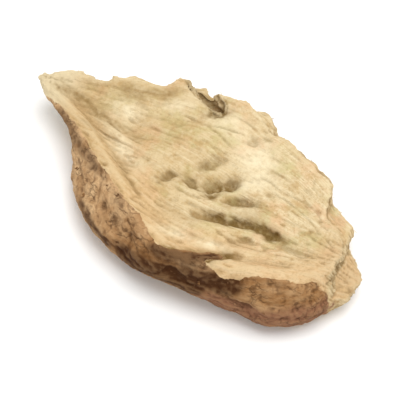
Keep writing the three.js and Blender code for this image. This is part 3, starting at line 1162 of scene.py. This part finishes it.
@dataclass(frozen=True)
class RootFinish:
    """The finish of the chip: chalky flesh, brown skin, torn edges and a dusty underside.

    A streak's size is its width and its length in millimetres. A span is where a change starts and
    ends, and the strength before and after it.
    """

    cream: Colour = srgb(228, 212, 175)
    cream_light: Colour = srgb(236, 222, 188)
    straw: Colour = srgb(188, 157, 108)
    sage: Colour = srgb(194, 183, 130)
    blush: Colour = srgb(219, 179, 140)
    rim_tan: Colour = srgb(212, 177, 133)
    band: Colour = srgb(164, 137, 94)
    vessel: Colour = srgb(164, 130, 84)
    # Dark brown of pits, clefts and creases, partly painted shade; also the painted shade in hollows of the
    # flesh.
    pit_and_shade: Colour = srgb(118, 92, 47)
    torn_dark: Colour = srgb(150, 120, 78)
    torn_pale: Colour = srgb(208, 184, 142)
    dusty: Colour = srgb(192, 170, 132)
    bark: Colour = srgb(141, 99, 58)
    bark_tan: Colour = srgb(212, 176, 132)
    bark_dark: Colour = srgb(66, 36, 14)
    bark_pale: Colour = srgb(182, 144, 102)
    bark_plum: Colour = srgb(140, 97, 72)
    sage_patches: Patches = Patches(2.6, 0.46, 0.62, last=0.85)
    blush_patches: Patches = Patches(2.3, 0.48, 0.62, last=0.8)
    straw_mottle: Patches = Patches(0.9, 0.5, 0.66, last=0.7, detail=4.0, rough=0.7)
    chalk: Patches = Patches(0.55, 0.34, 0.48, first=0.6, last=0.0, detail=4.0, rough=0.7)
    speckle: Patches = Patches(0.16, 0.34, 0.5, first=0.4, last=0.0, rough=0.7)
    pale_patches: Patches = Patches(0.5, 0.3, 0.6, first=0.45, last=0.95)
    band_patches: Patches = Patches(0.35, 0.3, 0.62, first=0.45)
    stain_and_shade_patches: Patches = Patches(0.35, 0.3, 0.62, first=0.4, last=0.9)
    dusty_patches: Patches = Patches(2.0, 0.35, 0.6)
    bark_mottle: Patches = Patches(1.3, 0.42, 0.62, last=0.6, detail=4.0, rough=0.65)
    bark_scars: Patches = Patches(0.6, 0.54, 0.68, last=0.45, detail=4.0, rough=0.6)
    bark_dust: Patches = Patches(0.22, 0.62, 0.72, last=0.2, rough=0.7)
    streak_size: Pair = (0.4, 5.5)
    streak_strength: float = 0.45
    thread_size: Pair = (0.09, 2.4)
    thread_strength: float = 0.5
    torn_size: Pair = (0.22, 1.6)
    bark_size: Pair = (0.9, 2.6)
    vessel_spacing: float = 0.62
    vessel_strength: float = 0.6
    crack_strength: float = 0.4
    rim_wander: float = 1.1
    rim_span: Span = (0.9, 3.6, 0.86, 0.0)
    straw_span: Span = (-9.0, 7.0, 0.45, 0.0)
    tip_span: Span = (-15.0, -11.0, 0.75, 0.0)
    bark_wander: float = 1.6
    tan_wander: float = 5.0
    tan_span: Span = (-3.6, 0.0, 0.9, 0.0)
    plum_up_to: Span = (2.0, 2.9, 0.92, 0.0)
    plum_from: Span = (2.4, 4.6, 0.0, 1.0)
    dark_wander: float = 0.35
    dark_span: Span = (0.1, 0.85, 0.0, 0.95)
    skin_speck: float = 0.5
    skin_span: Span = (0.35, 0.6, 0.0, 1.0)
    roughness: float = 0.92
    skin_polish: float = 0.24
    relief_size: Pair = (0.12, 2.5)
    relief_depth: float = 0.06
    relief_strength: float = 0.85
    fibre_relief: float = 2.0
    crack_relief: float = 2.4

    def streaks(self, tree: Tree, flow: Socket, size: Pair) -> bpy.types.bpy_prop_collection:
        """The outputs of fibre streaks of one size."""
        return tree.group(Effects.fibre_streaks(), {"Flow": flow, "Width": size[0], "Length": size[1]})

    def flesh(self, tree: Tree, place: Socket, flow: Socket) -> Socket:
        """The colour of the cut face.

        Args:
            tree: The material's tree.
            place: Object coordinates in millimetres.
            flow: Coordinates along the fibres.

        Returns:
            A colour.
        """
        streaks = self.streaks(tree, flow, self.streak_size)
        threads = self.streaks(tree, flow, self.thread_size)
        vessels = tree.group(Effects.cut_vessels(), {"Flow": flow, "Spacing": self.vessel_spacing})
        shifted = tree.output("ShaderNodeMapping", {"Vector": place, "Location": (31.0, 7.0, 3.0)})
        inward = tree.plus(tree.mask(Mask.RIM), tree.noise(place, self.rim_wander))
        _, along, _ = tree.parted(flow)
        return tree.laid(self.cream, (
            (tree.times(streaks["Streak"], self.streak_strength), self.straw),
            (tree.patches(self.sage_patches, place), self.sage),
            (tree.patches(self.blush_patches, shifted), self.blush),
            (tree.patches(self.straw_mottle, shifted), self.straw),
            (tree.patches(self.chalk, shifted), self.cream),
            (tree.span(inward, *self.rim_span), self.rim_tan),
            (tree.times(threads["Streak"], self.thread_strength), self.straw),
            (tree.patches(self.speckle, place), self.vessel),
            (tree.span(along, *self.straw_span), self.straw),
            (tree.times(tree.mask(Mask.PALE), tree.patches(self.pale_patches, place)), self.cream_light),
            (tree.span(along, *self.tip_span), self.cream),
            (tree.times(tree.mask(Mask.BAND), tree.patches(self.band_patches, place)), self.band),
            (tree.times(vessels["Vessel"], self.vessel_strength), self.vessel),
        ))

    def skin(self, tree: Tree, place: Socket, flow: Socket) -> Socket:
        """The colour of the skin: tan towards the tip, dark along some lines, plum low at the other end.

        Args:
            tree: The material's tree.
            place: Object coordinates in millimetres.
            flow: Coordinates along the fibres.

        Returns:
            A colour.
        """
        _, along, height = tree.parted(flow)
        wander = tree.minus(tree.noise(place, self.bark_wander), 0.5)
        streaks = self.streaks(tree, flow, self.bark_size)
        cracks = tree.group(Effects.dried_cracks(), {"Flow": flow})
        tip_side = tree.span(tree.plus(along, tree.times(wander, self.tan_wander)), *self.tan_span)
        low = tree.span(tree.plus(height, wander), *self.plum_up_to)
        plum = tree.times(low, tree.span(along, *self.plum_from))
        not_plum = tree.minus(1.0, plum)
        dark = tree.plus(tree.mask(Mask.DARK), tree.times(wander, self.dark_wander))
        return tree.laid(self.bark, (
            (streaks["Streak"], self.bark_pale),
            (tree.math("MAXIMUM", tip_side, tree.mask(Mask.WORN)), self.bark_tan),
            (plum, self.bark_plum),
            (tree.times(tree.patches(self.bark_mottle, place), not_plum), self.bark),
            (tree.times(tree.patches(self.bark_scars, place), not_plum), self.bark_dark),
            # The skin's own dark brown along the dark lines, with painted shade in the lower ones near the
            # floor.
            (tree.span(dark, *self.dark_span), self.bark_dark),
            (tree.times(cracks["Crack"], self.crack_strength), self.bark_dark),
        ))

    def material(self) -> bpy.types.Material:
        """Builds the material.

        Returns:
            The material of the chip.
        """
        material, tree, shader = new_material("dried_root")
        place = tree.place()
        flow = tree.attribute(Way.FLOW.value, "Vector")
        grain = tree.group(Effects.starch_grain(), {"Place": place, "Size": 0.13})
        layers = self.streaks(tree, flow, self.torn_size)
        flesh = tree.laid(self.flesh(tree, place, flow), (
            (tree.mask(Mask.TORN), tree.blend(layers["Streak"], self.torn_pale, self.torn_dark)),
            # Pits, clefts and creases in the dark brown: partly their own colour, partly painted shade.
            (tree.times(tree.mask(Mask.STAIN_AND_SHADE), tree.patches(self.stain_and_shade_patches, place)), self.pit_and_shade),
            (tree.times(tree.mask(Mask.UNDERSIDE), tree.patches(self.dusty_patches, place)), self.dusty),
        ))
        # Painted shade: hollows of the flesh are darkened with the pit brown, hollows of the skin with the
        # dark bark colour.
        relief = {"Hollow": tree.mask(Mask.HOLLOW), "Ridge": tree.mask(Mask.RIDGE)}
        flesh = tree.group(Effects.hollow_shade(), relief | {
            "Colour": flesh, "Shade colour": self.pit_and_shade, "Rubbed": self.cream, "Shade share": 0.4, "Rubbed share": 0.28,
        })
        bark = tree.group(Effects.hollow_shade(), relief | {
            "Colour": self.skin(tree, place, flow), "Shade colour": self.bark_dark, "Rubbed": self.bark_pale,
            "Shade share": 0.55, "Rubbed share": 0.25,
        })
        speck = tree.times(tree.minus(grain["Grain"], 0.5), self.skin_speck)
        on_skin = tree.span(tree.plus(tree.mask(Mask.SKIN), speck), *self.skin_span)
        dust = tree.times(tree.patches(self.bark_dust, place), on_skin)
        fibres = self.streaks(tree, flow, self.relief_size)
        cracks = tree.group(Effects.dried_cracks(), {"Flow": flow})
        smooth = tree.plus(tree.times(fibres["Height"], self.fibre_relief), grain["Height"])
        wrinkled = tree.plus(tree.times(cracks["Height"], self.crack_relief), grain["Height"])
        height = tree.output("ShaderNodeMix", {0: on_skin, 2: smooth, 3: wrinkled}, data_type="FLOAT")
        tree.feed(shader, {
            "Base Color": tree.laid(flesh["Colour"], ((on_skin, bark["Colour"]), (dust, self.bark_pale))),
            "Roughness": tree.minus(self.roughness, tree.times(on_skin, self.skin_polish)),
            "Normal": tree.raised(height, self.relief_strength, self.relief_depth),
        })
        return material


@dataclass(frozen=True)
class BitFinish:
    """The finish of the loose bits on the chip: torn fibres, starch crumbs or flakes of skin."""

    name: str
    pale: Colour
    dark: Colour
    patch: float
    roughness: float = 0.88
    relief_depth: float = 0.03
    relief_strength: float = 0.4

    def material(self) -> bpy.types.Material:
        """Builds the material.

        Returns:
            The material of the bits.
        """
        material, tree, shader = new_material(self.name)
        place = tree.place()
        grain = tree.group(Effects.starch_grain(), {"Place": place, "Size": 0.1})
        share = tree.patches(Patches(self.patch, 0.38, 0.64), place)
        tree.feed(shader, {
            "Base Color": tree.blend(share, self.pale, self.dark),
            "Roughness": self.roughness,
            "Normal": tree.raised(grain["Height"], self.relief_strength, self.relief_depth),
        })
        return material


class Bit(Enum):
    """The kinds of small bits that are scattered on the chip."""

    FIBRE = "torn_fibres"
    CRUMB = "starch_crumbs"
    FLAKE = "skin_flakes"


@dataclass
class Scatter:
    """Many small bits of one kind on the chip, made by a node tree and turned into a plain mesh."""

    bit: Bit
    finish: BitFinish
    mask: Mask
    density: float
    size: Pair
    seed: int
    lean: float = 0.0
    sink: float = 0.0

    MASK_POWER = 2.0
    SPIN_SEED_STEP = 11.0
    SIZE_SEED_STEP = 23.0

    def shape(self, tree: Tree) -> Socket:
        """The shape of one bit, about 1 mm large before it is scaled."""
        makers = {Bit.FIBRE: self.fibre, Bit.CRUMB: self.crumb, Bit.FLAKE: self.flake}
        return makers[self.bit](tree)

    def fibre(self, tree: Tree) -> Socket:
        """A bent strand that thins to its tip.

        Args:
            tree: The tree that makes it.

        Returns:
            Its geometry.
        """
        line = tree.output("GeometryNodeCurveQuadraticBezier", {
            "Resolution": 5, "Start": (0, 0, 0), "Middle": (0, 0, 0.6 * MM), "End": (0.28 * MM, 0, 1.0 * MM),
        })
        part = tree.node("GeometryNodeSplineParameter").outputs["Factor"]
        thin = tree.minus(1.0, tree.times(part, 0.8))
        tapered = tree.output("GeometryNodeSetCurveRadius", {"Curve": line, "Radius": thin})
        ring = tree.output("GeometryNodeCurvePrimitiveCircle", {"Resolution": 5, "Radius": 0.055 * MM})
        inputs = {"Curve": tapered, "Profile Curve": ring, "Fill Caps": True}
        return tree.output("GeometryNodeCurveToMesh", inputs)

    def crumb(self, tree: Tree) -> Socket:
        """A rough grain.

        Args:
            tree: The tree that makes it.

        Returns:
            Its geometry.
        """
        ball = tree.output("GeometryNodeMeshIcoSphere", {"Radius": 0.5 * MM, "Subdivisions": 2})
        place = tree.output("GeometryNodeInputPosition")
        lump = tree.output("ShaderNodeTexNoise", {"Vector": place, "Scale": 1.9 / MM, "Detail": 1.0})
        push = tree.times(tree.minus(lump, 0.5), 0.9 * MM)
        offset = tree.scaled(tree.output("GeometryNodeInputNormal"), push)
        return tree.output("GeometryNodeSetPosition", {"Geometry": ball, "Offset": offset})

    def flake(self, tree: Tree) -> Socket:
        """A thin curled scale of skin.

        Args:
            tree: The tree that makes it.

        Returns:
            Its geometry.
        """
        sheet = tree.output("GeometryNodeMeshCube", {
            "Size": (1.0 * MM, 0.7 * MM, 0.05 * MM), "Vertices X": 6, "Vertices Y": 5, "Vertices Z": 2,
        })
        place = tree.output("GeometryNodeInputPosition")
        from_middle = tree.math("ABSOLUTE", tree.parted(place)[0])
        curl = tree.times(tree.math("POWER", from_middle, 2.0), 0.8 / MM)
        ruffle = tree.node("ShaderNodeTexNoise", {"Vector": place, "Scale": 1.3 / MM, "Detail": 2.0})
        wave = tree.vector("SUBTRACT", ruffle.outputs["Color"], (0.5, 0.5, 0.5))
        offset = tree.vector("ADD", tree.scaled(wave, 0.5 * MM), tree.combined(0.0, 0.0, curl))
        return tree.output("GeometryNodeSetPosition", {"Geometry": sheet, "Offset": offset})

    def strewing(self) -> bpy.types.NodeTree:
        """The node tree that strews the bits.

        Returns:
            A geometry node tree with named inputs.
        """
        tree, given, result = new_group(
            self.bit.value,
            {
                "Geometry": Kind.GEOMETRY, "Density": Kind.NUMBER, "Smallest": Kind.NUMBER,
                "Largest": Kind.NUMBER, "Lean": Kind.NUMBER, "Sink": Kind.NUMBER, "Seed": Kind.WHOLE,
                "Material": Kind.MATERIAL,
            },
            {"Geometry": Kind.GEOMETRY},
            "GeometryNodeTree",
        )
        named = "GeometryNodeInputNamedAttribute"
        mask = tree.output(named, {"Name": self.mask.value}, data_type="FLOAT")
        grain = tree.output(named, {"Name": Way.GRAIN.value}, data_type="FLOAT_VECTOR")
        strewn = tree.node("GeometryNodeDistributePointsOnFaces", {
            "Mesh": given["Geometry"], "Seed": given["Seed"],
            "Density": tree.times(tree.math("POWER", mask, self.MASK_POWER), given["Density"]),
        }, distribute_method="RANDOM").outputs
        lean = tree.times(tree.random(-1.0, 1.0, given["Seed"]), given["Lean"])
        aim = tree.vector("ADD", strewn["Normal"], tree.scaled(grain, lean))
        turned = tree.output("FunctionNodeAlignRotationToVector", {"Vector": aim}, axis="Z")
        spin = tree.random(0.0, math.tau, tree.plus(given["Seed"], self.SPIN_SEED_STEP))
        about = tree.output("FunctionNodeAxisAngleToRotation", {"Axis": (0, 0, 1), "Angle": spin})
        turns = {"Rotation": turned, "Rotate By": about}
        size_seed = tree.plus(given["Seed"], self.SIZE_SEED_STEP)
        placed = tree.output("GeometryNodeInstanceOnPoints", {
            "Points": strewn["Points"],
            "Instance": self.shape(tree),
            "Rotation": tree.output("FunctionNodeRotateRotation", turns, rotation_space="LOCAL"),
            "Scale": tree.random(given["Smallest"], given["Largest"], size_seed),
        })
        down = tree.combined(0.0, 0.0, tree.minus(0.0, given["Sink"]))
        moves = {"Instances": placed, "Translation": down, "Local Space": True}
        sunk = tree.output("GeometryNodeTranslateInstances", moves)
        real = tree.output("GeometryNodeRealizeInstances", {"Geometry": sunk})
        dressed = tree.output("GeometryNodeSetMaterial", {"Geometry": real, "Material": given["Material"]})
        tree.feed(result, {"Geometry": dressed})
        return tree.tree

    def build(self, chip: bpy.types.Object) -> bpy.types.Object:
        """Strews the bits over the chip.

        Args:
            chip: The chip's finished object.

        Returns:
            The bits as one plain piece, riding on the chip's body.
        """
        source = add_object("source", chip.data.copy())
        modifier = source.modifiers.new("strew", "NODES")
        modifier.node_group = self.strewing()
        values = {
            "Density": self.density / (MM * MM),
            "Smallest": self.size[0],
            "Largest": self.size[1],
            "Lean": self.lean,
            "Sink": self.sink * MM,
            "Seed": self.seed,
            "Material": self.finish.material(),
        }
        for item in modifier.node_group.interface.items_tree:
            if item.in_out == "INPUT" and item.name in values:
                modifier[item.identifier] = values[item.name]
        mesh = take_mesh(source)
        mesh.name = self.bit.value
        piece = add_object(self.bit.value, mesh)
        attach(piece, BODY)
        return piece


@dataclass(frozen=True)
class Studio:
    """The pale floor, the soft light and the camera.

    Angles are in degrees: an azimuth is anticlockwise from +X, an elevation is above the floor.
    """

    floor_side: float = 2.0
    sun_strength: float = 1.95
    sun_width: float = 46.0
    sun_azimuth: float = 6.0
    sun_elevation: float = 77.0
    sky: Colour = (1.0, 0.99, 0.97, 1.0)
    sky_strength: float = 0.84
    camera_elevation: float = 55.0
    distance: float = 0.136
    lens: float = 200.0
    aim: Triple = (0.00023, -0.0002, 0.0014)

    def floor(self) -> None:
        """A plain pale floor, which isn't part of the object."""
        half = self.floor_side / 2
        corners = [(-half, -half, 0), (half, -half, 0), (half, half, 0), (-half, half, 0)]
        mesh = bpy.data.meshes.new("floor")
        mesh.from_pydata(corners, [], [(0, 1, 2, 3)])
        material, tree, shader = new_material("pale_floor")
        tree.feed(shader, {"Base Color": (0.9, 0.9, 0.9, 1.0), "Roughness": 0.9})
        mesh.materials.append(material)
        add_object("floor", mesh)

    def sun(self) -> None:
        """A soft light, high on the right."""
        lamp = bpy.data.lights.new("key", "SUN")
        lamp.energy = self.sun_strength
        lamp.angle = math.radians(self.sun_width)
        turn, rise = math.radians(self.sun_azimuth), math.radians(self.sun_elevation)
        way = Vector((math.cos(turn) * math.cos(rise), math.sin(turn) * math.cos(rise), math.sin(rise)))
        add_object("key", lamp).rotation_euler = way.to_track_quat("Z", "Y").to_euler()

    def backdrop(self) -> None:
        """An even light from all around."""
        world = bpy.data.worlds.new("world")
        bpy.context.scene.world = world
        world.use_nodes = True
        backdrop = world.node_tree.nodes["Background"]
        Tree(world.node_tree).feed(backdrop, {"Color": self.sky, "Strength": self.sky_strength})

    def camera(self) -> None:
        """The camera, looking down on the chip as the photograph looks at its face."""
        rise = math.radians(self.camera_elevation)
        way = Vector((0, -math.cos(rise), math.sin(rise)))
        view = bpy.data.cameras.new("camera")
        view.lens = self.lens
        view.clip_start = MM
        holder = add_object("camera", view)
        holder.location = Vector(self.aim) + way * self.distance
        holder.rotation_euler = way.to_track_quat("Z", "Y").to_euler()
        bpy.context.scene.camera = holder

    def build(self) -> None:
        """Sets up floor, light and camera."""
        self.floor()
        self.sun()
        self.backdrop()
        self.camera()
        bpy.context.scene.view_settings.view_transform = "Standard"


SCATTERS = (
    Scatter(
        Bit.FIBRE, BitFinish("fibre", srgb(208, 184, 142), srgb(154, 122, 80), patch=0.8),
        Mask.TORN, density=0.9, size=(0.12, 0.28), seed=3, lean=2.6, sink=0.05,
    ),
    Scatter(
        Bit.CRUMB, BitFinish("crumb", srgb(212, 188, 148), srgb(172, 142, 98), patch=1.2),
        Mask.TORN, density=1.2, size=(0.05, 0.16), seed=5,
    ),
    Scatter(
        Bit.FLAKE, BitFinish("flake", srgb(132, 96, 60), srgb(84, 54, 32), patch=0.9, roughness=0.8),
        Mask.SKIN, density=0.12, size=(0.1, 0.26), seed=9, sink=0.005,
    ),
)


def main() -> None:
    """Builds the stage, the chip and what clings to it."""
    logging.basicConfig(level=logging.INFO, format="%(name)s: %(message)s")
    Studio().build()
    chip = ChipBody().build()
    LOG.info("%s: %d faces", chip.name, len(chip.data.polygons))
    for scatter in SCATTERS:
        piece = scatter.build(chip)
        LOG.info("%s: %d faces", piece.name, len(piece.data.polygons))


if __name__ == "__main__":
    main()
